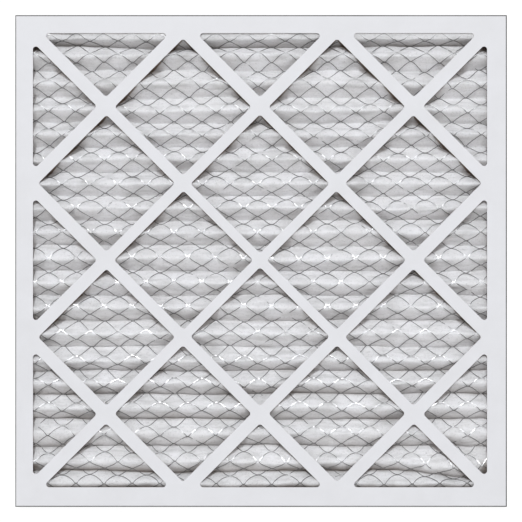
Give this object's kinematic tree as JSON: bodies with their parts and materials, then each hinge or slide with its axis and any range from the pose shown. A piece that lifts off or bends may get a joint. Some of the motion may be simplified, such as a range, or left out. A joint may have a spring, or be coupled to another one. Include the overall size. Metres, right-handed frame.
{
  "type": "pleated panel air filter",
  "caption": "Square pleated panel air filter: folded media backed with wire mesh, held between two die-cut lattice board trays.",
  "frame": {"origin": "centre of the back face, which is the lowest face at rest", "axes": "+Z out of the front (mesh side) face, +X along the folds, +Y across the folds"},
  "size_m": [0.4952, 0.4952, 0.0191],
  "materials": {
    "coated_board": "satin",
    "filter_media": "matte",
    "galvanised_mesh": "satin",
    "hot_melt_glue": "satin"
  },
  "bodies": {
    "root": {"front_tray": "coated_board", "back_tray": "coated_board", "pleated_media": "filter_media", "wire_mesh": "galvanised_mesh", "left_edge_glue": "hot_melt_glue", "right_edge_glue": "hot_melt_glue", "top_edge_glue": "hot_melt_glue", "bottom_edge_glue": "hot_melt_glue"}
  },
  "joints": []
}
